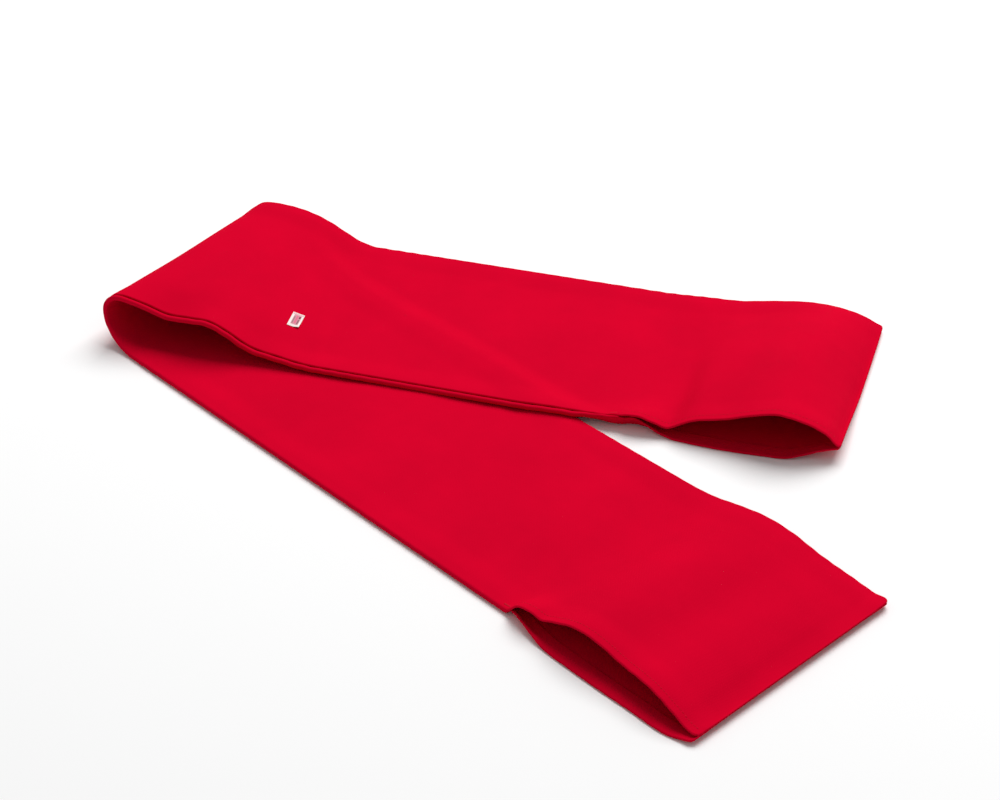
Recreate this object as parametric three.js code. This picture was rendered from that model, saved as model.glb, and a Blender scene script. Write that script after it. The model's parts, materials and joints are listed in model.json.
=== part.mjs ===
// A long flat band of red cotton with an open hand pocket at each end, folded over once.
//
// Two long panels are sewn together along both long edges and both ends, and turned, so the band
// is a flat tube. Along one long edge the seam stops short of each end and leaves an open mouth.
// The band lies on a table: the lower arm runs out from the fold, the cloth rolls up and over in
// a soft loop, and the upper arm runs back out again, splayed to the other side.
//
// A place on the band is a pair (s, v): s runs along it, 0 at the fold, positive on the lower arm
// and negative on the upper arm; v runs across it, negative on the edge with the mouths.
// The outer panel is outside the loop, so it is under the lower arm and on top of the upper arm.

import * as THREE from "three";

// ---- Driving dimensions, millimetres ----
const BAND_WIDTH = 200;
const LOWER_END = 641;
const UPPER_END = -638;
const SPLAY = THREE.MathUtils.degToRad(14.8);
const CLOTH = 0.7;
const SEAM_ALLOWANCE = 8;
const SEAM_GAP = 0.35; // from the band's middle plane to each panel's turned-in allowance
const EDGE_ROLL = 0.9; // outside radius of a panel's turned edge
const SAG = 1.4; // how far the upper of the two panels sinks between the edges
const SAG_INSET = 8; // distance from the edges where it starts to sink
const SAG_RUN = 20; // distance over which it sinks
const SAG_FADE = 100; // length of band over which each panel starts to sink, past the fold
const INNER_SAG_START = -60; // place on the loop where the inner panel starts to be the upper one

// The loop, seen along the fold: it leaves the table at 0, tops out and comes down at the landing.
const LOOP_HEIGHT = 35.7;
const LOOP_HEIGHT_SLOPE = -0.045; // change for each millimetre towards the far edge
const LOOP_TOP = -21;
const LOOP_LIFT_PULL = 20;
const LOOP_BACK_PULL = 42;
const LANDING = 126;
const LANDING_SLOPE = -0.3725;
const LANDING_START_PULL = 0.578; // of the run from the loop's top to the landing
const LANDING_END_PULL = 0.37;
const LOOP_DIVISIONS = 60; // of each half of the path, to measure along it
const COMING_DOWN = 0.45; // share of the path after which the cloth comes down
const ARM_GAP = 0.4; // between the upper arm and the lower arm that it crosses
const STEP_DOWN = 24; // width over which the upper arm comes down off the lower arm

// The pockets
const MOUTH_START = 466;
const LOWER_POCKET = { peak: 22, bow: 9, inset: 5, farLift: 6, cornerLift: 0, cornerInset: 0 };
const UPPER_POCKET = { peak: 33, bow: 3, inset: 3, farLift: 8, cornerLift: 8, cornerInset: 9 };
const CORNER_RUN = 44;
const PUFF_POWER = 4; // a puff is nearly level across the band and drops at its far edge
const FAR_LIFT_START = 60; // place across the band where the far edge's lift starts
const LIP_FADE = 0.7; // a pocket opens quickly along its lip and gently along the far edge
const FAR_FADE = 1.5;

// Threads, tacks and the label
const THREAD_RADIUS = 0.22;
const THREAD_SIDES = 6;
const SEAM_INSET = 1.3; // seam stitches from the long edges
const HEM_INSET = 6; // hem stitches from the mouth's lips
const HEM_END_GAP = 6; // hem stitches from both ends of a mouth
const END_SEAM_POINTS = 9;
const TACK = { length: 6, width: 1.6, height: 0.5, lift: 0.35 }; // dense stitches where a mouth starts
const TACK_INSET = 3;
const LABEL = { s: -180, v: -45.5, length: 10, width: 18, thickness: 0.35, lift: 0.4 };
const LABEL_STITCH_INSET = 1.5;
const TOUCH = 0.1; // clear space under a thread that lies on the cloth

const NORMAL_REACH = 0.5; // distance to the neighbours that a direction is measured with

// Places of a panel's face across the band, and steps of the mesh along it: short round the fold
// and in the pockets, long on the flat arms.
const FACE_PLACES = [-90, -78, -50, -20, 10, 40, 65, 80, 90, 95];
const STEPS = [
  { from: UPPER_END, to: -MOUTH_START, step: 12 },
  { from: -MOUTH_START, to: TACK.length - MOUTH_START, step: TACK.length },
  { from: TACK.length - MOUTH_START, to: -340, step: 15 },
  { from: -340, to: -230, step: 28 },
  { from: -230, to: -84, step: 12 },
  { from: -84, to: 30, step: 5 },
  { from: 30, to: MOUTH_START - TACK.length, step: 34 },
  { from: MOUTH_START - TACK.length, to: MOUTH_START, step: TACK.length },
  { from: MOUTH_START, to: LOWER_END, step: 12 },
];

const HALF = BAND_WIDTH / 2;
const EDGE_PLANE = SEAM_GAP + 2 * EDGE_ROLL; // outside face of a panel, from the middle plane
const BAND_THICKNESS = 2 * EDGE_PLANE;

const RED = { color: 0xb80421, roughness: 0.92, metalness: 0 };
const DARK_RED = { color: 0xa00320, roughness: 0.85, metalness: 0 };
const WHITE = { color: 0xece6e4, roughness: 0.8, metalness: 0 };

const smooth = (x) => THREE.MathUtils.smoothstep(x, 0, 1);

// ---- The band's middle plane ----

// The loop's side view at one place along the fold, as a path of two cubic curves.
function loopPath(y) {
  const height = LOOP_HEIGHT + LOOP_HEIGHT_SLOPE * y;
  const landing = LANDING + LANDING_SLOPE * y;
  const run = landing - LOOP_TOP;
  const at = (x, z) => new THREE.Vector2(x, z);
  const rise = new THREE.CubicBezierCurve(
    at(0, 0), at(-LOOP_LIFT_PULL, 0), at(LOOP_TOP - LOOP_BACK_PULL, height), at(LOOP_TOP, height));
  const fall = new THREE.CubicBezierCurve(
    at(LOOP_TOP, height), at(LOOP_TOP + LANDING_START_PULL * run, height),
    at(landing - LANDING_END_PULL * run, 0), at(landing, 0));
  const path = new THREE.CurvePath();
  for (const curve of [rise, fall]) {
    curve.arcLengthDivisions = LOOP_DIVISIONS;
    path.add(curve);
  }
  return { path, landing };
}

// Height of the upper arm where it lies on the lower arm and where it comes down beside it.
function armStep(x, y, z) {
  const across = x * Math.sin(SPLAY) + y * Math.cos(SPLAY);
  const onLowerArm = 1 - smooth((across - HALF) / STEP_DOWN);
  const nearTable = 1 - smooth(z / STEP_DOWN);
  return (BAND_THICKNESS + ARM_GAP) * onLowerArm * nearTable;
}

function middlePoint(s, v) {
  const along = s * Math.cos(SPLAY) + v * Math.sin(SPLAY);
  const y = -s * Math.sin(SPLAY) + v * Math.cos(SPLAY);
  if (along >= 0) return new THREE.Vector3(along, y, EDGE_PLANE);
  const { path, landing } = loopPath(y);
  const length = path.getLength();
  const rolled = Math.min(-along / length, 1);
  const onLoop = path.getPoint(rolled);
  const x = rolled < 1 ? onLoop.x : landing - along - length;
  const z = rolled < 1 ? onLoop.y : 0;
  const step = rolled > COMING_DOWN ? armStep(x, y, z) : 0;
  return new THREE.Vector3(x, y, EDGE_PLANE + z + step);
}

// Direction out of the loop, square to the band.
function outward(s, v) {
  const alongS = middlePoint(s + NORMAL_REACH, v).sub(middlePoint(s - NORMAL_REACH, v));
  const alongV = middlePoint(s, v + NORMAL_REACH).sub(middlePoint(s, v - NORMAL_REACH));
  return alongV.cross(alongS).normalize();
}

// ---- Pockets ----

// How the cloth of one panel moves where a pocket stands open: v shift and lift off the table.
function pocketMove(s, v, isTop, puffs) {
  const pocket = s > 0 ? LOWER_POCKET : UPPER_POCKET;
  const end = s > 0 ? LOWER_END : -UPPER_END;
  const t = (Math.abs(s) - MOUTH_START) / (end - MOUTH_START);
  if (t <= 0) return { shift: 0, lift: 0 };
  const fade = LIP_FADE + (FAR_FADE - LIP_FADE) * smooth((v + HALF) / BAND_WIDTH);
  const open = Math.pow(Math.max(Math.sin(Math.PI * t), 0), fade);
  const nearLip = smooth((-HALF / 2 - v) / (HALF / 2));
  const corner = smooth((Math.abs(s) - end + CORNER_RUN) / CORNER_RUN) * smooth(-v / HALF);
  const acrossPuff = THREE.MathUtils.clamp((v + HALF) / (BAND_WIDTH - EDGE_ROLL), 0, 1);
  const puff = isTop && puffs ? pocket.peak * Math.sqrt(1 - acrossPuff ** PUFF_POWER) : 0;
  const farLift = pocket.farLift * smooth((v - FAR_LIFT_START) / (HALF - FAR_LIFT_START));
  return {
    shift: (isTop ? pocket.inset : -pocket.bow) * open * nearLip + pocket.cornerInset * corner,
    lift: open * (puff + farLift) + pocket.cornerLift * corner,
  };
}

// ---- Cloth surfaces ----

// A point of one panel: v across the band and m out from its middle plane on the panel's side.
function clothPoint(panel, s, { v, m, puffs = true }) {
  const isTop = (panel === "outer") === (s < 0);
  const { shift, lift } = pocketMove(s, v, isTop, puffs);
  const side = panel === "outer" ? 1 : -1;
  const point = middlePoint(s, v + shift);
  point.addScaledVector(outward(s, v + shift), side * m);
  point.z += lift;
  return point;
}

// How far the middle of a panel sinks: only the panel that is on top of the other one.
function sagAt(panel, s) {
  const past = panel === "outer" ? -s : s - INNER_SAG_START;
  const topShare = smooth(past / SAG_FADE);
  return SAG * topShare;
}

// One panel across the band, with both long edges turned in: a row of places on its outside face,
// then the facing places on its back in the opposite order.
function panelSection(panel, s) {
  const sag = sagAt(panel, s);
  const edge = HALF - EDGE_ROLL;
  const allowanceEnd = HALF - SEAM_ALLOWANCE;
  const middle = SEAM_GAP + EDGE_ROLL;
  const sagShare = (v) => smooth((HALF - SAG_INSET - Math.abs(v)) / SAG_RUN);
  const face = FACE_PLACES.map((v) => ({ v, m: EDGE_PLANE - sag * sagShare(v) }));
  const back = face.map(({ v, m }) => ({ v, m: m - CLOTH }));
  const outside = [
    { v: -allowanceEnd, m: SEAM_GAP },
    { v: -edge, m: SEAM_GAP },
    { v: -HALF, m: middle },
    { v: -edge, m: EDGE_PLANE },
    ...face,
    { v: edge, m: EDGE_PLANE },
    { v: HALF, m: middle },
    { v: edge, m: SEAM_GAP, puffs: false },
    { v: allowanceEnd, m: SEAM_GAP, puffs: false },
  ];
  const inside = [
    { v: -allowanceEnd, m: SEAM_GAP + CLOTH },
    { v: -edge, m: SEAM_GAP + CLOTH },
    { v: -HALF + CLOTH, m: middle },
    { v: -edge, m: EDGE_PLANE - CLOTH },
    ...back,
    { v: edge, m: EDGE_PLANE - CLOTH },
    { v: HALF - CLOTH, m: middle },
    { v: edge, m: SEAM_GAP + CLOTH, puffs: false },
    { v: allowanceEnd, m: SEAM_GAP + CLOTH, puffs: false },
  ];
  return [...outside, ...inside.reverse()];
}

// Places along the band where the mesh has a ring of points.
function stations() {
  const places = [];
  for (const { from, to, step } of STEPS) {
    const count = Math.round((to - from) / step);
    for (let i = 0; i < count; i++) places.push(from + ((to - from) * i) / count);
  }
  places.push(LOWER_END);
  return places;
}

// ---- Meshes ----

// Closed solid through rings of points. In each ring the second half faces the first half in
// the opposite order, so a strip of triangles between the halves closes each end.
function loft(rings) {
  const count = rings[0].length;
  const positions = rings.flat().flatMap((p) => [p.x, p.y, p.z]);
  const triangles = [];
  const quad = (a, b, c, d) => triangles.push([a, b, c], [a, c, d]);
  for (let r = 0; r + 1 < rings.length; r++) {
    for (let i = 0; i < count; i++) {
      const a = r * count + i;
      const b = r * count + ((i + 1) % count);
      quad(b, a, a + count, b + count);
    }
  }
  const last = (rings.length - 1) * count;
  for (let i = 0; i + 1 < count / 2; i++) {
    const j = count - 1 - i;
    quad(i, i + 1, j - 1, j);
    quad(last + j, last + j - 1, last + i + 1, last + i);
  }
  return closedGeometry(positions, triangles);
}

// Indexed geometry whose faces point out.
function closedGeometry(positions, triangles) {
  const at = (i) => new THREE.Vector3(...positions.slice(3 * i, 3 * i + 3));
  let volume = 0;
  for (const [a, b, c] of triangles) volume += at(a).dot(at(b).cross(at(c)));
  const faces = volume > 0 ? triangles : triangles.map(([a, b, c]) => [a, c, b]);
  const geometry = new THREE.BufferGeometry();
  geometry.setAttribute("position", new THREE.Float32BufferAttribute(positions, 3));
  geometry.setIndex(faces.flat());
  geometry.computeVertexNormals();
  return geometry;
}

function panelGeometry(panel) {
  const rings = stations().map((s) => panelSection(panel, s).map((p) => clothPoint(panel, s, p)));
  return loft(rings);
}

// Corners of a thread's round section: the second half faces the first in the opposite order.
function threadCorners() {
  return Array.from({ length: THREAD_SIDES }, (_, i) => {
    const angle = (2 * Math.PI * (i + 0.5)) / THREAD_SIDES;
    return { a: THREAD_RADIUS * Math.cos(angle), b: THREAD_RADIUS * Math.sin(angle) };
  });
}

// Thread that runs along the band at v, on or under one panel.
function threadAlong(panel, places, { v, m, puffs = true }) {
  const around = threadCorners();
  const ring = (s) => around.map(({ a, b }) => clothPoint(panel, s, { v: v + a, m: m + b, puffs }));
  return loft(places.map(ring));
}

// Thread that runs across the band at s, between the two panels.
function threadAcross(s, places) {
  const around = threadCorners();
  const ring = (v) => around.map(({ a, b }) => clothPoint("outer", s + a, { v, m: b, puffs: false }));
  return loft(places.map(ring));
}

// Evenly spaced values from one end to the other, both included.
function spaced(from, to, count) {
  return Array.from({ length: count }, (_, i) => from + ((to - from) * i) / (count - 1));
}

function piece(name, geometry, finish) {
  const mesh = new THREE.Mesh(geometry, new THREE.MeshStandardMaterial(finish));
  mesh.name = name;
  return mesh;
}

// ---- Seams and hems ----

function sideSeams() {
  const between = stations().filter((s) => Math.abs(s) <= MOUTH_START);
  const inset = HALF - SEAM_INSET;
  const mouthSide = threadAlong("outer", between, { v: -inset, m: 0, puffs: false });
  const closedSide = threadAlong("outer", stations(), { v: inset, m: 0, puffs: false });
  return [
    piece("mouth_side_seam_thread", mouthSide, DARK_RED),
    piece("closed_side_seam_thread", closedSide, DARK_RED),
  ];
}

function endSeams() {
  const reach = HALF - SEAM_ALLOWANCE - EDGE_ROLL;
  const across = spaced(-reach, reach, END_SEAM_POINTS);
  return [
    piece("lower_end_seam_thread", threadAcross(LOWER_END - SEAM_INSET, across), DARK_RED),
    piece("upper_end_seam_thread", threadAcross(UPPER_END + SEAM_INSET, across), DARK_RED),
  ];
}

// The stitching line of one mouth's hem, on the face of the lip that can be seen from above.
function hemThread(arm, lip) {
  const isTop = lip === "upper";
  const panel = (arm === "upper") === isTop ? "outer" : "inner";
  const m = isTop ? EDGE_PLANE + THREAD_RADIUS + TOUCH : SEAM_GAP - THREAD_RADIUS - TOUCH;
  const sign = arm === "lower" ? 1 : -1;
  const end = arm === "lower" ? LOWER_END : -UPPER_END;
  const inMouth = stations().filter(
    (s) => sign * s > MOUTH_START + HEM_END_GAP && sign * s < end - HEM_END_GAP);
  const thread = threadAlong(panel, inMouth, { v: -HALF + HEM_INSET, m });
  return piece(`${arm}_pocket_${lip}_lip_hem_thread`, thread, DARK_RED);
}

// A flat strip of even thickness on top of one panel, as long as its list of places along the band.
function stripOn(panel, places, { v, width, m, thickness }) {
  const half = width / 2;
  const corners = [
    { v: v - half, m },
    { v: v + half, m },
    { v: v + half, m: m + thickness },
    { v: v - half, m: m + thickness },
  ];
  return loft(places.map((s) => corners.map((p) => clothPoint(panel, s, p))));
}

// Short bar of dense stitches that locks the long seam where a mouth starts.
function backTack(arm) {
  const panel = arm === "upper" ? "outer" : "inner";
  const sign = arm === "upper" ? -1 : 1;
  const places = [MOUTH_START - TACK.length, MOUTH_START].map((d) => sign * d).sort((a, b) => a - b);
  const v = -HALF + TACK_INSET;
  const m = EDGE_PLANE + TACK.lift;
  const bar = stripOn(panel, places, { v, width: TACK.width, m, thickness: TACK.height });
  return piece(`${arm}_mouth_back_tack`, bar, DARK_RED);
}

// ---- Label ----

function labelPieces() {
  const places = spaced(LABEL.s - LABEL.length / 2, LABEL.s + LABEL.length / 2, 3);
  const top = EDGE_PLANE - sagAt("outer", LABEL.s) + LABEL.lift;
  const { v, width, thickness } = LABEL;
  const tag = stripOn("outer", places, { v, width, m: top, thickness });
  const m = top + thickness + THREAD_RADIUS + TOUCH;
  const stitches = (side) => {
    const at = v + side * (width / 2 - LABEL_STITCH_INSET);
    return threadAlong("outer", places, { v: at, m });
  };
  return [
    piece("woven_label", tag, WHITE),
    piece("label_near_stitches", stitches(-1), WHITE),
    piece("label_far_stitches", stitches(1), WHITE),
  ];
}

// ---- The whole band, with the middle of its footprint at the origin ----

const band = new THREE.Group();
band.add(piece("outer_panel", panelGeometry("outer"), RED));
band.add(piece("inner_panel", panelGeometry("inner"), RED));
band.add(...sideSeams(), ...endSeams());
for (const arm of ["lower", "upper"]) {
  band.add(backTack(arm));
  for (const lip of ["upper", "lower"]) band.add(hemThread(arm, lip));
}
band.add(...labelPieces());

const bounds = new THREE.Box3().setFromObject(band, true);
const centre = bounds.getCenter(new THREE.Vector3());
band.position.set(-centre.x, -centre.y, -bounds.min.z);

export default band;
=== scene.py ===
"""A long band of doubled red cotton with a hand pocket at each end, folded over once.

The cloth is built here as two panels of real thickness, laid along the fold of the CAD solids with a
slightly fuller loop. A place on the band is (s, v), with s along it from the fold (positive on the
lower arm) and v across it (negative on the edge with the mouths). m is the height out of the band's
middle plane, positive on the outer panel's side. Sizes are in millimetres until a mesh is made.
"""

import json
import math

import bpy
import numpy as np
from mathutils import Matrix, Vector


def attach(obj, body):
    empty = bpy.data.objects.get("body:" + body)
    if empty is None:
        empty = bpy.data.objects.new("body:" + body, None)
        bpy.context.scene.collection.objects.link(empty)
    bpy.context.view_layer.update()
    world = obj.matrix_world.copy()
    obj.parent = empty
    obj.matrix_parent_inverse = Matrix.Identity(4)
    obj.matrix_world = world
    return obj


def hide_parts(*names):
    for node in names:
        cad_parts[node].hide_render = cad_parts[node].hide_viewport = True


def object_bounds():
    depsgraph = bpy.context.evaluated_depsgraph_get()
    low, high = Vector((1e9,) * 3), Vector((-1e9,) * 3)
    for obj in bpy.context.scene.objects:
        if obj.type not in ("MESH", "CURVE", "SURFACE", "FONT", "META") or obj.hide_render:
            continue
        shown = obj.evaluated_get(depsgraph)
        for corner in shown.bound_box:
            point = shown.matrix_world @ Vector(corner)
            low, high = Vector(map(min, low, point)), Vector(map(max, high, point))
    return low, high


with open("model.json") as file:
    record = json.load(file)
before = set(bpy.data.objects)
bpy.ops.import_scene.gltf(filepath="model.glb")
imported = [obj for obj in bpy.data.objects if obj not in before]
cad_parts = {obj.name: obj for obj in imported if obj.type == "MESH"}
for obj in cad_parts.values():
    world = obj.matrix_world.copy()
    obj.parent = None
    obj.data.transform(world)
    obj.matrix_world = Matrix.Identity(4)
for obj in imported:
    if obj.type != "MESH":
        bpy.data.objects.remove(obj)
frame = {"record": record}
CAD_BOX = [list(corner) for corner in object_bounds()]

# ---- The band's sizes, in millimetres ----
MM = 0.001
HALF = 100.0
LOWER_END, UPPER_END = 641.0, 638.0
SPLAY = math.radians(14.8)
CLOTH = 0.7
ROLL = 1.79  # from the middle plane to the middle of each panel's cloth at the seams
LIFT_OFF = ROLL + CLOTH / 2 + 0.3  # from the table to the middle plane, with room for the stitches
END_SEAM_RISE = 1.2  # how far the end seams lie above the middle plane
SAG = 1.25  # how far the upper panel sinks between the two long seams
UNDER_SAG = 0.5  # how far the lower panel rises there
MOUTH_START = 466.0
SIDE = {"outer": 1, "inner": -1}  # the side of the middle plane that each panel is on

# ---- The loop of the fold, seen from the side ----
LOOP_HEIGHT, LOOP_HEIGHT_SLOPE = 35.7, -0.045
LOOP_TOP = -21.0
LOOP_LIFT_PULL, LOOP_BACK_PULL = 36.0, 32.5
LANDING, LANDING_SLOPE = 126.0, -0.3725
LANDING_START_PULL, LANDING_END_PULL = 0.578, 0.37
LOOP_Y = np.linspace(-240, 240, 97)
LOOP_STEPS = np.arange(0, 700, 0.5)
PAST_TOP = 60.0  # distance round the loop after which the cloth comes down
STEP_DOWN = 24.0
STEP_SAG_INSET = 6.0  # from the lower arm's edges to where its top starts to sink
SAG_RUN = 20.0

# ---- How each pocket stands open, as (distance from the fold, lift or shift) ----
# near_lift raises the top lip, and far_lift both panels' far edges. kink_top and kink_under bend the
# lips where the mouth starts. inset draws the top lip in, far_inset the far edges, and bow shifts the
# lower lip. near_lift, bow, far_lift and some of the kinks' places began as numbers that another
# program fitted to the edges' outline, and they were then changed by hand.
POCKETS = {
    "lower": dict(
        sign=1, end=LOWER_END,
        near_lift=[
            (458, 0), (485, 4.5), (502, 12), (528, 20), (545, 19.5),
            (567, 16), (602, 13.5), (620, 8), (LOWER_END, 0),
        ],
        kink_top=[(464, 0), (476, 8), (487, 7), (500, 0)],
        kink_under=[(462, 0), (472, 5.5), (484, 5), (500, 2), (512, 0)],
        far_lift=[
            (450, 0), (480, 2), (502, 6.5), (530, 10.5),
            (552, 9.5), (578, 4.5), (605, 1.5), (LOWER_END, 0),
        ],
        inset=[(470, 0), (545, 5), (LOWER_END, 0)],
        far_inset=[(600, 0), (LOWER_END, 1.8)],
        bow=[
            (460, 0), (474, -1), (488, -4), (503, -7),
            (540, -9), (590, -9), (622, -8.5), (LOWER_END, -4),
        ],
        corner_lift=0, corner_inset=0, corner_round=5, end_lift=2,
    ),
    "upper": dict(
        sign=-1, end=UPPER_END,
        near_lift=[
            (464, 0), (490, 2), (508, 5.5), (522, 13.5), (552, 22),
            (575, 30.5), (592, 34.5), (608, 31), (626, 20.5), (UPPER_END, 9),
        ],
        kink_top=[(430, 0), (455, 3), (484, 11), (496, 6), (510, 0)],
        kink_under=[(430, 0), (455, 4), (480, 9), (494, 4), (515, 0)],
        far_lift=[
            (450, 0), (492, 2), (520, 3.5), (545, 8),
            (580, 12.5), (602, 11.5), (622, 7), (UPPER_END, 0),
        ],
        inset=[(470, 0), (545, 3), (UPPER_END, 0)],
        far_inset=[(600, 0), (UPPER_END, 0)],
        bow=[(462, 0), (482, 5), (506, 0), (540, -3), (594, -1), (616, 0.5), (UPPER_END, 0)],
        corner_lift=9, corner_inset=9, corner_round=3, end_lift=1,
    ),
}
CORNER_RUN = 44.0  # the near corner is raised and drawn in over this length
CORNER_POWER = 6  # how close to the edges the ends' corners are rounded
END_LIFT_RUN = 16.0  # the closed ends curl up off the table over this length
KINK_WIDTH, UNDER_KINK_WIDTH = 24.0, 4.5
PUFF_POWER = 2.2  # how far across the top the near lip's lift reaches
FAR_LIFT_START = 55.0  # where the lower panel starts to rise towards its far edge

# ---- How the near edge lies round the fold and on the upper arm ----
EDGE_DROOP = [  # (distance along the upper arm, drop), from measured differences, then changed
    (35, 0), (67, 5.5), (86, 9.5), (107, 5.5), (125, 0.5), (140, 1), (159, 4), (190, 1), (230, 0),
]
DROOP_WIDTH = 26.0
UPPER_ARM_SPREAD = 6.0  # how much further out its near edge lies than on the lower arm
SPREAD_START, SPREAD_RUN = 60.0, 120.0


def smooth(x):
    x = np.clip(x, 0, 1)
    return x * x * (3 - 2 * x)


def curve(points, x):
    """A smooth line through a few (x, height) points, level beyond both its ends."""
    at, height = np.array(points, float).T
    slope = np.gradient(height, at)
    slope[[0, -1]] = 0
    i = np.clip(np.searchsorted(at, x) - 1, 0, len(at) - 2)
    run = at[i + 1] - at[i]
    t = np.clip((x - at[i]) / run, 0, 1)
    rise = height[i + 1] - height[i]
    bend = t * (1 - t) * ((1 - t) * (slope[i] * run - rise) - t * (slope[i + 1] * run - rise))
    return height[i] + t * rise + bend


def bump(x, centre, width):
    return np.exp(-(((x - centre) / width) ** 2))


# ---- The band's middle plane ----
def bezier(points, count=160):
    t = np.linspace(0, 1, count)[:, None]
    a, b, c, d = (np.array(p, float) for p in points)
    return a * (1 - t) ** 3 + 3 * b * t * (1 - t) ** 2 + 3 * c * t * t * (1 - t) + d * t**3


def loop_line(y):
    """The loop's side view at one place y along the fold, as points (x, z)."""
    height = LOOP_HEIGHT + LOOP_HEIGHT_SLOPE * y
    landing = LANDING + LANDING_SLOPE * y
    run = landing - LOOP_TOP
    rise = bezier([(0, 0), (-LOOP_LIFT_PULL, 0), (LOOP_TOP - LOOP_BACK_PULL, height), (LOOP_TOP, height)])
    fall = bezier([
        (LOOP_TOP, height), (LOOP_TOP + LANDING_START_PULL * run, height),
        (landing - LANDING_END_PULL * run, 0), (landing, 0),
    ])
    return np.vstack([rise, fall[1:], [[landing + LOOP_STEPS[-1], 0]]])


def loop_table():
    """x and z at even steps round the loop, for each place along the fold."""
    rows = []
    for y in LOOP_Y:
        line = loop_line(y)
        length = np.r_[0, np.cumsum(np.linalg.norm(np.diff(line, axis=0), axis=1))]
        rows.append([np.interp(LOOP_STEPS, length, line[:, i]) for i in (0, 1)])
    return np.array(rows)


LOOP = loop_table()


def loop_point(distance, y):
    """x and z at a distance round the loop, between the table's rows and steps."""
    row = np.clip((y - LOOP_Y[0]) / (LOOP_Y[1] - LOOP_Y[0]), 0, len(LOOP_Y) - 1.001)
    step = np.clip(distance / (LOOP_STEPS[1] - LOOP_STEPS[0]), 0, len(LOOP_STEPS) - 1.001)
    i, j = row.astype(int), step.astype(int)
    a, b = row - i, step - j
    corners = ((0, 0, (1 - a) * (1 - b)), (1, 0, a * (1 - b)), (0, 1, (1 - a) * b), (1, 1, a * b))
    value = 0
    for di, dj, share in corners:
        value = value + LOOP[i + di, :, j + dj] * share[..., None]
    return value[..., 0], value[..., 1]


def arm_step(x, y, z):
    """Height of the upper arm where it lies on the lower arm and comes down beside it."""
    across = x * math.sin(SPLAY) + y * math.cos(SPLAY)
    lower_arm_top = 2 * LIFT_OFF - SAG * smooth((HALF - STEP_SAG_INSET - np.abs(across)) / SAG_RUN)
    on_lower_arm = 1 - smooth((across - HALF) / STEP_DOWN)
    near_table = 1 - smooth(z / STEP_DOWN)
    return lower_arm_top * on_lower_arm * near_table


def middle(s, v):
    along = s * math.cos(SPLAY) + v * math.sin(SPLAY)
    y = -s * math.sin(SPLAY) + v * math.cos(SPLAY)
    rolled_x, rolled_z = loop_point(np.maximum(-along, 0), y)
    x = np.where(along >= 0, along, rolled_x)
    z = np.where(along >= 0, 0, rolled_z)
    z = z + np.where(-along > PAST_TOP, arm_step(x, y, z), 0)
    return np.stack([x, y, z + LIFT_OFF], -1)


def outward(s, v, reach=0.5):
    along_s = middle(s + reach, v) - middle(s - reach, v)
    along_v = middle(s, v + reach) - middle(s, v - reach)
    normal = np.cross(along_v, along_s)
    return normal / np.linalg.norm(normal, axis=-1, keepdims=True)


def place(s, v, m):
    return middle(s, v) + m[..., None] * outward(s, v)


# ---- How the cloth lies: pockets, kinks and creases ----
def pocket_moves(pocket, s, v, is_top, puffs):
    """Shift across the band and lift off the table where one pocket stands open."""
    u = pocket["sign"] * s
    across = np.clip((v + HALF) / (2 * HALF), 0, 1)
    far_lift = curve(pocket["far_lift"], u)
    near_the_lip = bump(v, -HALF, KINK_WIDTH if is_top else UNDER_KINK_WIDTH)
    near_edge_share = smooth((-HALF / 2 - v) / (HALF / 2))
    far_edge_share = smooth((v - HALF / 2) / (HALF / 2))
    towards_end = smooth((u - pocket["end"] + CORNER_RUN) / CORNER_RUN)
    corner = towards_end * smooth(-v / HALF)
    at_the_end = smooth((u - pocket["end"] + END_LIFT_RUN) / END_LIFT_RUN)
    lift = pocket["corner_lift"] * corner + pocket["end_lift"] * at_the_end
    shift = pocket["corner_inset"] * corner - curve(pocket["far_inset"], u) * far_edge_share
    if is_top:
        near_lift = curve(pocket["near_lift"], u) - pocket["corner_lift"] * towards_end
        far_share = across**PUFF_POWER
        lift = lift + (near_lift * (1 - far_share) + far_lift * far_share) * puffs
        lift = lift + curve(pocket["kink_top"], u) * near_the_lip
        lift = lift + far_lift * (1 - puffs)
        shift = shift + curve(pocket["inset"], u) * near_edge_share
    else:
        lift = lift + far_lift * smooth((v - FAR_LIFT_START) / (HALF - FAR_LIFT_START))
        lift = lift + curve(pocket["kink_under"], u) * near_the_lip
        shift = shift + curve(pocket["bow"], u) * near_edge_share
    return shift, lift


def rounded_corner(s, v):
    """Pulls the cloth in across the band at its very ends, so that the corners are a little round."""
    shift = 0
    for pocket in POCKETS.values():
        radius = pocket["corner_round"]
        past = np.clip(pocket["sign"] * s - (pocket["end"] - radius), 0, radius)
        cut = radius - np.sqrt(radius**2 - past**2)
        shift = shift - cut * np.sign(v) * np.abs(v / HALF) ** CORNER_POWER
    return shift


CREASES = [  # (place along the band at v = 0, slant, height, width): folds pressed across the band
    (-190, 0.28, 0.7, 6),
    (-345, 0.30, 0.5, 7),
    (-512, 0.15, 0.6, 8),
    (300, -0.25, 0.6, 7),
    (420, -0.10, 0.5, 8),
]


def creases(s, v):
    lift = 0
    for at, slant, height, width in CREASES:
        lift = lift + height * bump(s - slant * v, at, width)
    return lift


SLACK_WAVES = [  # (height, length along, length across, phase)
    (0.45, 31, 47, 0.6),
    (0.35, 17, -38, 2.1),
    (0.25, 63, 19, 1.0),
    (0.12, 7.3, 23, 0),
]
SLACK_INSET, SLACK_RUN = 6.0, 25.0  # the slack fades out towards the seams
SLACK_START = 60.0  # and towards the fold


def slack(s, v):
    """Gentle unevenness of the upper layer of cloth."""
    lift = 0
    for height, along, across, phase in SLACK_WAVES:
        lift = lift + height * np.sin(s / along + v / across + phase)
    return lift


PUCKER_HEIGHT, PUCKER_LENGTH, PUCKER_REACH = 0.16, 2.3, 5


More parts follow.
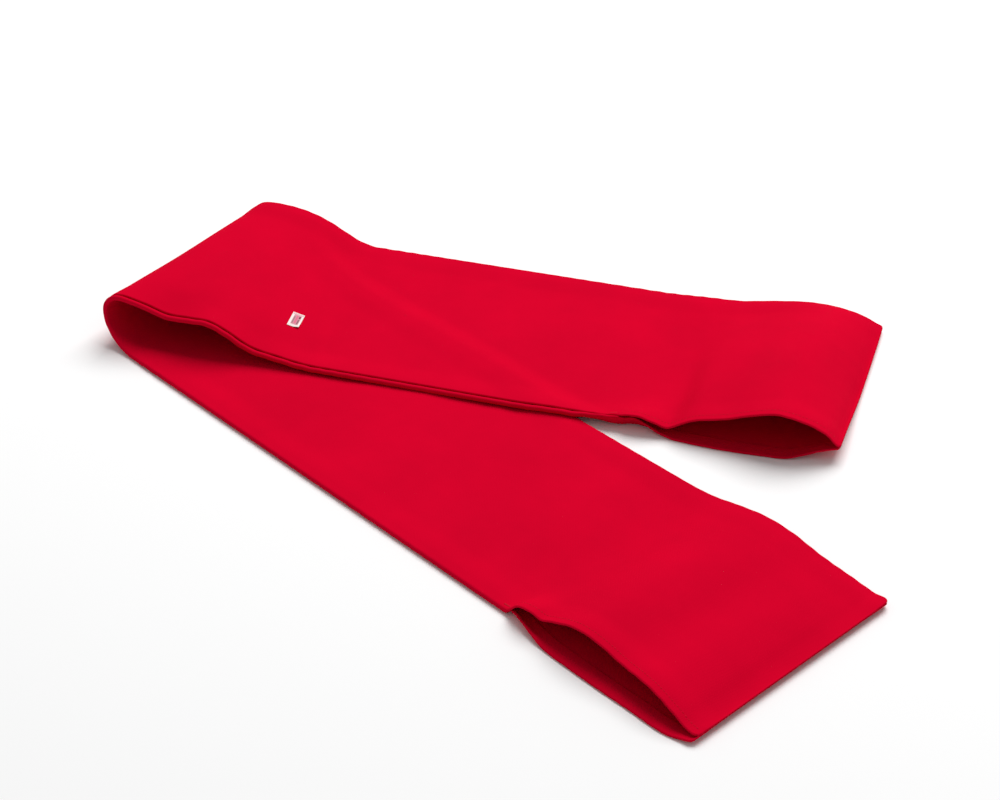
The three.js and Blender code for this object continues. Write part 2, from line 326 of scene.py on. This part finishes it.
def pucker(s, v):
    """Small waves along both long seams, where the stitches draw the cloth in."""
    near_seam = np.exp(-(HALF - np.abs(v)) / PUCKER_REACH)
    uneven_length = 1.7 * np.sin(s / 19)
    uneven_height = 1 + 0.5 * np.sin(s / 41)
    return PUCKER_HEIGHT * near_seam * np.sin(s / PUCKER_LENGTH + uneven_length) * uneven_height


def lay(panel, s, v, m, puffs=1.0):
    """Where a place of one panel ends up, with the cloth's own slack and the open pockets."""
    tops = (s < 0) if panel == "outer" else (s > 0)
    spread = UPPER_ARM_SPREAD * smooth((-s - SPREAD_START) / SPREAD_RUN) * smooth(-v / HALF)
    shift, lift = rounded_corner(s, v) - spread, 0
    for pocket in POCKETS.values():
        top_shift, top_lift = pocket_moves(pocket, s, v, True, puffs)
        low_shift, low_lift = pocket_moves(pocket, s, v, False, puffs)
        shift = shift + np.where(tops, top_shift, low_shift)
        lift = lift + np.where(tops, top_lift, low_lift)
    lift = lift - curve(EDGE_DROOP, -s) * bump(v, -HALF, DROOP_WIDTH)
    across_fade = smooth((HALF - SLACK_INSET - np.abs(v)) / SLACK_RUN)
    inside = across_fade * smooth((UPPER_END - np.abs(s)) / SLACK_RUN)
    on_top = smooth(np.abs(s) / SLACK_START) * tops
    lift = lift + on_top * inside * (creases(s, v) + slack(s, v))
    side = SIDE[panel]
    points = place(s, v + shift, m + side * pucker(s, v) * smooth(puffs))
    points[..., 2] += lift
    return points


# ---- Sections across one panel: the middle line of the cloth, in (v, m) ----
def arc(centre, radius, start, stop, count=9):
    angle = np.radians(np.linspace(start, stop, count))
    return np.c_[centre[0] + radius * np.cos(angle), centre[1] + radius * np.sin(angle)]


def resample(parts, count):
    line = np.vstack(parts)
    length = np.r_[0, np.cumsum(np.linalg.norm(np.diff(line, axis=0), axis=1))]
    at = np.linspace(0, length[-1], count)
    return np.c_[np.interp(at, length, line[:, 0]), np.interp(at, length, line[:, 1])]


FOLD = 0.62  # radius of the cloth's middle line where an allowance is turned in
TURNED = ROLL - 2 * FOLD  # height of a turned-in allowance
OUTER_FOLD, INNER_FOLD = -94.0, -97.6  # where each panel turns in beside the groove of the near seam
FACE_START = -91.0  # where the near edge's section meets the panel's face
RAW_EDGE, HEM_RAW_EDGE = -86.0, -88.0  # where the turned-in allowances end inside the band
HEM_FOLD = 0.95 - HALF  # the middle of the fold at a lip
WRAP_GAP = 0.15  # between the inner panel's fold and the outer panel's
NEAR_COUNT, FAR_COUNT = 44, 28
FACE_V = np.linspace(-90, 88, 72)
OPENING_LEAD, OPENING_RUN = 4.0, 12.0  # how the seam's section turns into the hems where a mouth starts
SAG_INSET = 8.0
INNER_SAG_START, SAG_FADE = 60.0, 100.0  # where round the fold a panel stops being the upper one


def near_edge(panel, is_open):
    """The mouth side of one panel: sewn shut with the inner panel wrapped round the edge, or a hem."""
    if panel == "outer" and not is_open:
        fold = arc((OUTER_FOLD, ROLL - FOLD), FOLD, 270, 90)
        return resample([[(RAW_EDGE, TURNED), (OUTER_FOLD, TURNED)], fold, [(FACE_START, ROLL)]], NEAR_COUNT)
    if panel == "inner" and not is_open:
        allowance = [(RAW_EDGE, -TURNED), (OUTER_FOLD, -TURNED), (INNER_FOLD + FOLD, -0.2)]
        fold = arc((INNER_FOLD, ROLL - FOLD - WRAP_GAP), FOLD, 0, 90)
        edge = arc((-HALF + ROLL, 0), ROLL, 110, 270, 15)
        return resample([allowance, fold, edge, [(FACE_START, -ROLL)]], NEAR_COUNT)
    side = SIDE[panel]
    hem = arc((HEM_FOLD, ROLL - FOLD), FOLD, 270, 90)
    line = resample([[(HEM_RAW_EDGE, TURNED), (HEM_FOLD, TURNED)], hem, [(FACE_START, ROLL)]], NEAR_COUNT)
    return line * (1, side)


def far_edge(panel):
    side = SIDE[panel]
    fold = arc((HALF - CLOTH / 2 - FOLD, ROLL - FOLD), FOLD, 90, -90)
    line = resample([[(90, ROLL)], fold, [(91, TURNED)]], FAR_COUNT)
    return line * (1, side)


def section_grid(panel, s):
    """v, m and the share of the pocket's puff for every station s and every place across."""
    side = SIDE[panel]
    u = np.abs(s)[:, None, None]
    opened = smooth((u - MOUTH_START + OPENING_LEAD) / OPENING_RUN)
    near = near_edge(panel, False)[None] * (1 - opened) + near_edge(panel, True)[None] * opened
    sag_start = INNER_SAG_START if panel == "inner" else 0
    top_share = smooth((-side * s + sag_start) / SAG_FADE)[:, None]
    sag = SAG * top_share + UNDER_SAG * (1 - top_share)
    flat_m = ROLL - sag * smooth((HALF - SAG_INSET - np.abs(FACE_V)) / SAG_RUN)
    face = np.stack([np.broadcast_to(FACE_V, flat_m.shape), side * flat_m], -1)
    far = np.broadcast_to(far_edge(panel), (len(s), FAR_COUNT, 2))
    grid = np.concatenate([near, face, far], 1)
    v, m = grid[..., 0], grid[..., 1]
    puffs = np.ones_like(v)
    turned = side * m[:, -FAR_COUNT:] < ROLL - FOLD
    puffs[:, -FAR_COUNT:][turned] = 0
    return v, close_ends(s, m), puffs


END_CLEARANCE = 0.03  # between the two panels where they are drawn together


def close_ends(s, m):
    """Heights m with both panels drawn together at the band's ends, where the seam lies near the top."""
    end = np.where(s > 0, LOWER_END, UPPER_END)
    past = np.clip((np.abs(s) - (end - LIFT_OFF)) / LIFT_OFF, 0, 1)
    share = np.sqrt(1 - past**2)[:, None]
    seam = (END_SEAM_RISE * np.where(s > 0, -1, 1))[:, None]
    least = CLOTH / 2 + END_CLEARANCE
    return seam * (1 - share) + np.sign(m) * np.maximum(np.abs(m) * share, np.minimum(np.abs(m), least))


LOOP_REACH = 240.0  # how far up the upper arm the loop's fine steps go
PLAIN_START, PLAIN_END, POCKET_START = 40.0, 440.0, 520.0
FINE_STEP, LOWER_FOLD_STEP, PLAIN_STEP, POCKET_STEP = 1.6, 2.0, 4.0, 2.6
END_RUN, END_STATIONS = 6.0, 13


def stations():
    """Steps along the band, finer round the fold, in the pockets and at the ends."""
    loop = np.arange(-LOOP_REACH, -2, FINE_STEP)
    lower_fold = np.arange(-2, PLAIN_START, LOWER_FOLD_STEP)
    plain = np.arange(PLAIN_START, PLAIN_END, PLAIN_STEP)
    start = np.arange(PLAIN_END, POCKET_START, FINE_STEP)
    lower = np.concatenate([plain, start, np.arange(POCKET_START, LOWER_END - END_RUN, POCKET_STEP)])
    upper_plain = plain[plain > LOOP_REACH]
    upper = np.concatenate([upper_plain, start, np.arange(POCKET_START, UPPER_END - END_RUN, POCKET_STEP)])
    last = np.linspace(-END_RUN, 0, END_STATIONS)
    ends = np.concatenate([-UPPER_END - last, LOWER_END + last])
    return np.unique(np.concatenate([-upper, loop, lower_fold, lower, ends]))


# ---- Meshes ----
MOUNT_DISTANCE = 300.0  # from the fold to the mount on the underside of the lower arm
mount = frame["record"]["mounts"][0]["pos_m"]
ORIGIN = np.array(mount) - MOUNT_DISTANCE * MM * np.array([math.cos(SPLAY), -math.sin(SPLAY), 0])


def to_row(points):
    return np.asarray(points) * MM + ORIGIN


def grid_normals(points):
    normal = np.cross(np.gradient(points, axis=1), np.gradient(points, axis=0))
    return normal / np.maximum(np.linalg.norm(normal, axis=-1, keepdims=True), 1e-9)


def add_mesh(name, vertices, faces, material, uv=None):
    mesh = bpy.data.meshes.new(name)
    mesh.from_pydata(to_row(vertices).tolist(), [], faces)
    mesh.polygons.foreach_set("use_smooth", [True] * len(mesh.polygons))
    if uv is not None:
        layer = mesh.uv_layers.new(name="cloth")
        corners = np.empty(len(mesh.loops), int)
        mesh.loops.foreach_get("vertex_index", corners)
        layer.data.foreach_set("uv", (np.asarray(uv)[corners] * MM).ravel())
    mesh.materials.append(material)
    mesh.update()
    piece = bpy.data.objects.new(name, mesh)
    bpy.context.scene.collection.objects.link(piece)
    return piece


def sheet_faces(rows, columns):
    """Quads of a closed sheet: two faces of rows by columns of points, joined all round."""
    index = np.arange(rows * columns).reshape(rows, columns)
    back = index + rows * columns
    quads = [np.stack([index[:-1, :-1], index[:-1, 1:], index[1:, 1:], index[1:, :-1]], -1).reshape(-1, 4)]
    quads.append(np.stack([back[:-1, :-1], back[1:, :-1], back[1:, 1:], back[:-1, 1:]], -1).reshape(-1, 4))
    for front_edge, back_edge in (
        (index[:, 0], back[:, 0]), (index[::-1, -1], back[::-1, -1]),
        (index[0, ::-1], back[0, ::-1]), (index[-1, :], back[-1, :]),
    ):
        quads.append(np.stack([front_edge[:-1], front_edge[1:], back_edge[1:], back_edge[:-1]], -1))
    return np.concatenate(quads).tolist()


def thick_sheet(name, points, thickness, material, uv):
    normal = grid_normals(points)
    vertices = np.concatenate([(points + side * thickness / 2 * normal).reshape(-1, 3) for side in (1, -1)])
    uv = np.concatenate([uv.reshape(-1, 2)] * 2)
    return add_mesh(name, vertices, sheet_faces(*points.shape[:2]), material, uv)


def stand_for(piece, node_name):
    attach(piece, "root")
    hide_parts(node_name)


# ---- Materials ----
def new_material(name, colour, roughness):
    material = bpy.data.materials.new(name)
    material.use_nodes = True
    shader = material.node_tree.nodes["Principled BSDF"]
    shader.inputs["Base Color"].default_value = (*colour, 1)
    shader.inputs["Roughness"].default_value = roughness
    return material, shader


def node(material, kind, **inputs):
    made = material.node_tree.nodes.new(kind)
    for key, value in inputs.items():
        made.inputs[key].default_value = value
    return made


def math_node(material, operation, a, b=None):
    made = material.node_tree.nodes.new("ShaderNodeMath")
    made.operation = operation
    for socket, value in zip(made.inputs, (a, b)):
        if value is None:
            continue
        if isinstance(value, (int, float)):
            socket.default_value = value
        else:
            material.node_tree.links.new(value, socket)
    return made.outputs[0]


def cloth_place(material):
    """The place on the cloth, as a vector and as its two parts, along and across."""
    uv = node(material, "ShaderNodeUVMap")
    uv.uv_map = "cloth"
    split = node(material, "ShaderNodeSeparateXYZ")
    material.node_tree.links.new(uv.outputs[0], split.inputs[0])
    return uv.outputs[0], split.outputs[0], split.outputs[1]


def cloth_material(name, colour, pitch, roughness, bump_distance=0.00012):
    """Plain-woven cloth: over and under threads at the given pitch in metres, with slubs."""
    material, shader = new_material(name, colour, roughness)
    tree = material.node_tree
    uv, along, across = cloth_place(material)
    waves = [
        math_node(material, "SINE", math_node(material, "MULTIPLY", part, math.pi / pitch))
        for part in (along, across)
    ]
    weave = math_node(material, "MULTIPLY", *waves)
    slubs = node(material, "ShaderNodeTexNoise", Scale=900.0, Detail=2.0)
    tree.links.new(uv, slubs.inputs["Vector"])
    height = math_node(material, "ADD", weave, math_node(material, "MULTIPLY", slubs.outputs["Fac"], 0.8))
    relief = node(material, "ShaderNodeBump", Strength=0.35, Distance=bump_distance)
    tree.links.new(height, relief.inputs["Height"])
    tree.links.new(relief.outputs["Normal"], shader.inputs["Normal"])
    patches = node(material, "ShaderNodeTexNoise", Scale=14.0, Detail=4.0, Roughness=0.6)
    tree.links.new(uv, patches.inputs["Vector"])
    ramp = node(material, "ShaderNodeValToRGB")
    ramp.color_ramp.elements[0].position = 0.25
    ramp.color_ramp.elements[1].position = 0.75
    ramp.color_ramp.elements[0].color = (*[c * 0.93 for c in colour], 1)
    ramp.color_ramp.elements[1].color = (*[min(c * 1.05, 1) for c in colour], 1)
    tree.links.new(patches.outputs["Fac"], ramp.inputs["Fac"])
    tree.links.new(ramp.outputs["Color"], shader.inputs["Base Color"])
    shader.inputs["Specular IOR Level"].default_value = 0.012
    shader.inputs["Sheen Weight"].default_value = 0.1
    shader.inputs["Sheen Roughness"].default_value = 0.5
    shader.inputs["Sheen Tint"].default_value = (0.9, 0.0, 0.04, 1)
    return material


def thread_material(name, colour):
    """Twisted thread: fine slanting strands with a slight lustre."""
    material, shader = new_material(name, colour, 0.6)
    tree = material.node_tree
    place_on = node(material, "ShaderNodeTexCoord")
    strands = node(material, "ShaderNodeTexWave", Scale=900.0, Distortion=2.0)
    strands.bands_direction = "DIAGONAL"
    tree.links.new(place_on.outputs["Object"], strands.inputs["Vector"])
    relief = node(material, "ShaderNodeBump", Strength=0.5, Distance=0.00005)
    tree.links.new(strands.outputs["Fac"], relief.inputs["Height"])
    tree.links.new(relief.outputs["Normal"], shader.inputs["Normal"])
    shader.inputs["Specular IOR Level"].default_value = 0.1
    return material


PATCH_EDGE = 0.25  # half the width of a patch's soft edge
LABEL_PATCHES = [  # colour, then the patch's reach along and across the label from its middle
    ((0.80, 0.50, 0.52), (-4.2, 4.4), (6.6, 8.4)),
    ((0.66, 0.30, 0.35), (-3.3, 3.0), (-6.4, 6.6)),
    ((0.30, 0.14, 0.17), (-2.7, -1.5), (-5.2, 1.0)),
    ((0.16, 0.03, 0.06), (-2.9, -1.5), (2.4, 5.2)),
    ((0.74, 0.18, 0.28), (-0.8, 0.8), (-4.6, 5.4)),
    ((0.36, 0.2, 0.22), (1.5, 2.5), (-5.2, 4.0)),
]


def band_mask(material, value, low, high):
    """1 where a value lies between low and high, with soft edges, all in the value's own unit."""
    soft = PATCH_EDGE
    rise = node(material, "ShaderNodeMapRange", **{"From Min": low - soft, "From Max": low + soft})
    fall = node(material, "ShaderNodeMapRange", **{"From Min": high - soft, "From Max": high + soft})
    fall.inputs["To Min"].default_value = 1.0
    fall.inputs["To Max"].default_value = 0.0
    for ramp in (rise, fall):
        material.node_tree.links.new(value, ramp.inputs["Value"])
    return math_node(material, "MULTIPLY", rise.outputs[0], fall.outputs[0])


def label_material(name):
    """White woven label with a rose panel, and plain dark and pink bars in it."""
    material = cloth_material(name, (0.9, 0.84, 0.8), 0.0003, 0.7, 0.00006)
    tree = material.node_tree
    shader = tree.nodes["Principled BSDF"]
    ground = shader.inputs["Base Color"].links[0].from_socket
    _, along, across = cloth_place(material)
    along = math_node(material, "MULTIPLY", along, 1 / MM)
    across = math_node(material, "MULTIPLY", across, 1 / MM)
    for colour, (s_low, s_high), (v_low, v_high) in LABEL_PATCHES:
        mask = math_node(
            material, "MULTIPLY",
            band_mask(material, along, s_low, s_high), band_mask(material, across, v_low, v_high),
        )
        mix = node(material, "ShaderNodeMix")
        mix.data_type = "RGBA"
        mix.inputs["B"].default_value = (*colour, 1)
        tree.links.new(mask, mix.inputs["Factor"])
        tree.links.new(ground, mix.inputs["A"])
        ground = mix.outputs["Result"]
    tree.links.new(ground, shader.inputs["Base Color"])
    return material


RED = (0.62, 0.0004, 0.0215)
red_cotton = cloth_material("red_cotton", RED, 0.0008, 0.9)


# ---- The two panels ----
INNER_UV_SHIFT = 300  # so that the two panels don't show the same slubs
S = stations()
for panel in ("outer", "inner"):
    v, m, puffs = section_grid(panel, S)
    s = np.broadcast_to(S[:, None], v.shape)
    points = lay(panel, s, v, m, puffs)
    uv = np.stack([s, v + INNER_UV_SHIFT * (panel == "inner")], -1)
    piece = thick_sheet(f"{panel}_panel_cloth", points, CLOTH, red_cotton, uv)
    stand_for(piece, f"{panel}_panel")


# ---- Stitches ----
RING_SIDES = 6
STITCH_PROFILE = [  # (share of the length, thickness, rise), the last two in thread radii
    (0.0, 0.45, -0.9), (0.12, 0.85, -0.1), (0.5, 1.0, 0.25), (0.88, 0.85, -0.1), (1.0, 0.45, -0.9),
]


def stitches(name, starts, ends, normals, radius, material):
    """Short arched threads from each start to each end, with both their ends drawn into the cloth."""
    starts, ends = np.asarray(starts, float), np.asarray(ends, float)
    along = ends - starts
    along /= np.linalg.norm(along, axis=1, keepdims=True)
    side = np.cross(along, normals)
    side /= np.linalg.norm(side, axis=1, keepdims=True)
    up = np.cross(side, along)
    angle = np.arange(RING_SIDES) * 2 * math.pi / RING_SIDES
    rings = []
    for share, size, rise in STITCH_PROFILE:
        centre = starts + share * (ends - starts) + rise * radius * up
        ring = centre[:, None] + size * radius * (
            np.cos(angle)[None, :, None] * side[:, None] + np.sin(angle)[None, :, None] * up[:, None]
        )
        rings.append(ring)
    points = np.stack(rings, 1)
    count = len(STITCH_PROFILE) * RING_SIDES
    faces = [list(range(RING_SIDES)), list(range(count - 1, count - RING_SIDES - 1, -1))]
    for i in range(len(STITCH_PROFILE) - 1):
        for j in range(RING_SIDES):
            here, after = i * RING_SIDES + j, i * RING_SIDES + (j + 1) % RING_SIDES
            faces.append([after, here, here + RING_SIDES, after + RING_SIDES])
    every = [[corner + k * count for corner in face] for k in range(len(starts)) for face in faces]
    return add_mesh(name, points.reshape(-1, 3), every, material)


def run_of_stitches(panel, places, v, m, length):
    """Starts, ends and normals of stitches along the band at v and m, on one panel."""
    places = np.asarray(places, float)
    across, height = np.full_like(places, v), np.full_like(places, m)
    start = lay(panel, places, across, height)
    end = lay(panel, places + length, across, height)
    above = lay(panel, places, across, height + np.sign(m) * 1.0)
    return start, end, above - start


def joined(*runs):
    return [np.concatenate(parts) for parts in zip(*runs)]


STITCH_PITCH, STITCH_LENGTH, THREAD_RADIUS = 2.6, 2.15, 0.2
STITCH_STAND = 0.05  # how far the stitches on a face stand off it
SEAM_HEIGHT = 0.01  # of the side seams' stitches, off the middle plane
HEM_INSET = 6.0
HEM_START_GAP, HEM_END_GAP = 3.0, 4.0


def hem_stitches(arm, lip):
    """Both faces of the row of lockstitches that holds one lip's hem."""
    sign = POCKETS[arm]["sign"]
    is_top = lip == "upper"
    panel = "inner" if is_top == (arm == "lower") else "outer"
    side = SIDE[panel]
    places = sign * np.arange(MOUTH_START + HEM_START_GAP, POCKETS[arm]["end"] - HEM_END_GAP, STITCH_PITCH)
    outside, inside = ROLL + CLOTH / 2, TURNED - CLOTH / 2
    face = run_of_stitches(panel, places, HEM_INSET - HALF, side * outside, STITCH_LENGTH)
    back = run_of_stitches(panel, places, HEM_INSET - HALF, side * inside, STITCH_LENGTH)
    back = (*back[:2], -back[2])
    piece = stitches(f"{arm}_pocket_{lip}_lip_stitches", *joined(face, back), THREAD_RADIUS, red_thread)
    stand_for(piece, f"{arm}_pocket_{lip}_lip_hem_thread")


def side_seam_stitches(name, node_name, v, places):
    run = run_of_stitches("outer", places, v, SEAM_HEIGHT, STITCH_LENGTH)
    stand_for(stitches(name, *run, THREAD_RADIUS, red_thread), node_name)


END_SEAM_GAP = 4.0  # from each end seam's ends to the long edges
END_SEAM_OUT = 0.1


def end_seam_stitches(arm):
    sign = POCKETS[arm]["sign"]
    across = np.arange(END_SEAM_GAP - HALF, HALF - END_SEAM_GAP, STITCH_PITCH)
    place_s = np.full_like(across, sign * (POCKETS[arm]["end"] + END_SEAM_OUT))
    flat = np.full_like(across, -sign * END_SEAM_RISE)
    start = lay("outer", place_s, across, flat)
    end = lay("outer", place_s, across + STITCH_LENGTH, flat)
    away = lay("outer", place_s + sign, across, flat) - start
    piece = stitches(f"{arm}_end_seam_stitches", start, end, away, THREAD_RADIUS, red_thread)
    stand_for(piece, f"{arm}_end_seam_thread")


TACK_LENGTH, TACK_WIDTH, TACK_PITCH = 6.0, 1.7, 0.34
TACK_V = {"outer": OUTER_FOLD + 2.2, "inner": 4.0 - HALF}


def back_tack(arm):
    """A close zigzag of thread beside the start of one mouth."""
    sign = POCKETS[arm]["sign"]
    panel = "outer" if arm == "upper" else "inner"
    side = SIDE[panel]
    turns = int(TACK_LENGTH / TACK_PITCH)
    places = sign * (MOUTH_START - TACK_LENGTH + TACK_PITCH * np.arange(turns + 1))
    across = TACK_V[panel] + TACK_WIDTH / 2 * np.where(np.arange(turns + 1) % 2, 1, -1)
    height = np.full_like(across, side * (ROLL + CLOTH / 2 + STITCH_STAND))
    points = lay(panel, places, across, height)
    normal = lay(panel, places, across, height + side) - points
    name = f"{arm}_mouth_tack_stitches"
    piece = stitches(name, points[:-1], points[1:], normal[:-1], THREAD_RADIUS, red_thread)
    stand_for(piece, f"{arm}_mouth_back_tack")


THREAD_RED = (0.56, 0.0008, 0.019)
red_thread = thread_material("red_thread", THREAD_RED)
for arm in POCKETS:
    for lip in ("upper", "lower"):
        hem_stitches(arm, lip)
    end_seam_stitches(arm)
    back_tack(arm)
TACK_ROOM = 8.0  # left free of side seam stitches beside each mouth
UPPER_SEAM_GAP, LOWER_SEAM_GAP = 4.0, 6.0  # from the closed side seam's stitches to the band's ends
GROOVE_V, CLOSED_SEAM_V = (OUTER_FOLD + INNER_FOLD) / 2, HALF - 1.2
between_mouths = np.arange(TACK_ROOM - MOUTH_START, MOUTH_START - TACK_ROOM, STITCH_PITCH)
whole_length = np.arange(UPPER_SEAM_GAP - UPPER_END, LOWER_END - LOWER_SEAM_GAP, STITCH_PITCH)
side_seam_stitches("mouth_side_seam_stitches", "mouth_side_seam_thread", GROOVE_V, between_mouths)
side_seam_stitches("closed_side_seam_stitches", "closed_side_seam_thread", CLOSED_SEAM_V, whole_length)

# ---- The label ----
LABEL_S, LABEL_V, LABEL_LENGTH, LABEL_WIDTH, LABEL_CLOTH = -180.0, -45.5, 10.0, 18.0, 0.35
LABEL_TURN = math.radians(-7)  # the label is sewn on a little askew
LABEL_GRID = (25, 49)
LABEL_GAP = 0.12  # between the label and the cloth
LABEL_CROWN = 0.25  # how far its middle stands up
LABEL_CURL, CURL_START, CURL_RUN = 1.3, 0.9, 1.1  # how far one corner curls up, and from where
LABEL_STITCH_INSET, LABEL_STITCH_PITCH, LABEL_STITCH_LENGTH = 1.5, 1.5, 1.2
LABEL_STITCHES_FROM, LABEL_STITCHES_TO = -4.4, 4.0
LABEL_THREAD_RADIUS = 0.13


def label_surface(along, across, above=0.0):
    """A place on the label, which lies on the cloth a little askew and curls up at one corner."""
    s = LABEL_S + along * math.cos(LABEL_TURN) - across * math.sin(LABEL_TURN)
    v = LABEL_V + along * math.sin(LABEL_TURN) + across * math.cos(LABEL_TURN)
    a, b = along / (LABEL_LENGTH / 2), across / (LABEL_WIDTH / 2)
    curl = LABEL_CURL * smooth((-a - b - CURL_START) / CURL_RUN)
    crown = LABEL_CROWN * (1 - b**2) * (1 - a**2)
    m = ROLL - SAG + CLOTH / 2 + LABEL_CLOTH / 2 + LABEL_GAP + above + curl + crown
    return lay("outer", s, v, m)


def label():
    along = np.linspace(-1, 1, LABEL_GRID[0]) * LABEL_LENGTH / 2
    across = np.linspace(-1, 1, LABEL_GRID[1]) * LABEL_WIDTH / 2
    a, b = np.meshgrid(along, across, indexing="ij")
    uv = np.stack([a, b], -1)
    material = label_material("white_label")
    piece = thick_sheet("woven_label_cloth", label_surface(a, b), LABEL_CLOTH, material, uv)
    stand_for(piece, "woven_label")
    threads = [label_stitches("near", -1), label_stitches("far", 1)]


def label_stitches(end_name, end):
    along = np.arange(LABEL_STITCHES_FROM, LABEL_STITCHES_TO, LABEL_STITCH_PITCH)
    across = np.full_like(along, end * (LABEL_WIDTH / 2 - LABEL_STITCH_INSET))
    top = LABEL_CLOTH / 2 + STITCH_STAND
    start = label_surface(along, across, top)
    stop = label_surface(along + LABEL_STITCH_LENGTH, across, top)
    normal = label_surface(along, across, top + 1) - start
    name = f"label_{end_name}_end_stitches"
    piece = stitches(name, start, stop, normal, LABEL_THREAD_RADIUS, white_thread)
    stand_for(piece, f"label_{end_name}_stitches")
    return piece


white_thread = thread_material("white_thread", (0.86, 0.82, 0.8))
label()

# ---- Floor, light and camera ----
FLOOR_REACH = 6.0
FLOOR_WHITE = (0.94, 0.94, 0.94)
WORLD_LIGHT = 0.35
LAMP_PLACE, LAMP_TARGET = (-0.2, 2.1, 3.2), (0, 0, 0)
LAMP_SIZE, LAMP_POWER = 2.9, 160


def add_floor():
    size, low = FLOOR_REACH, CAD_BOX[0][2]
    mesh = bpy.data.meshes.new("floor")
    corners = [(-size, -size, low), (size, -size, low), (size, size, low), (-size, size, low)]
    mesh.from_pydata(corners, [], [(0, 1, 2, 3)])
    material, shader = new_material("floor", FLOOR_WHITE, 0.9)
    shader.inputs["Specular IOR Level"].default_value = 0.0
    mesh.materials.append(material)
    floor = bpy.data.objects.new("floor", mesh)
    bpy.context.scene.collection.objects.link(floor)


def add_area_light(name, position, target, size, power):
    light = bpy.data.lights.new(name, "AREA")
    light.size = size
    light.energy = power
    lamp = bpy.data.objects.new(name, light)
    lamp.location = position
    lamp.rotation_euler = (Vector(target) - Vector(position)).to_track_quat("-Z", "Y").to_euler()
    bpy.context.scene.collection.objects.link(lamp)


def add_world(strength):
    world = bpy.data.worlds.new("studio")
    world.use_nodes = True
    world.node_tree.nodes["Background"].inputs["Color"].default_value = (1, 1, 1, 1)
    world.node_tree.nodes["Background"].inputs["Strength"].default_value = strength
    bpy.context.scene.world = world


CAMERA_FROM_FOLD = (1.0098, -1.1672, 0.938)
CAMERA_HEADING = math.radians(31.8)
CAMERA_DOWN = math.radians(34.21)
SENSOR_WIDTH = 36.0
FOCAL_SHARE = 2.1137  # focal length over the picture's width


def add_camera():
    data = bpy.data.cameras.new("camera")
    data.sensor_width = SENSOR_WIDTH
    data.lens = SENSOR_WIDTH * FOCAL_SHARE
    camera = bpy.data.objects.new("camera", data)
    camera.location = Vector(ORIGIN) + Vector(CAMERA_FROM_FOLD)
    camera.rotation_euler = (math.pi / 2 - CAMERA_DOWN, 0, CAMERA_HEADING)
    bpy.context.scene.collection.objects.link(camera)
    bpy.context.scene.camera = camera


add_floor()
add_world(WORLD_LIGHT)
add_area_light("behind", LAMP_PLACE, LAMP_TARGET, LAMP_SIZE, LAMP_POWER)
add_camera()
bpy.context.scene.view_settings.view_transform = "Standard"
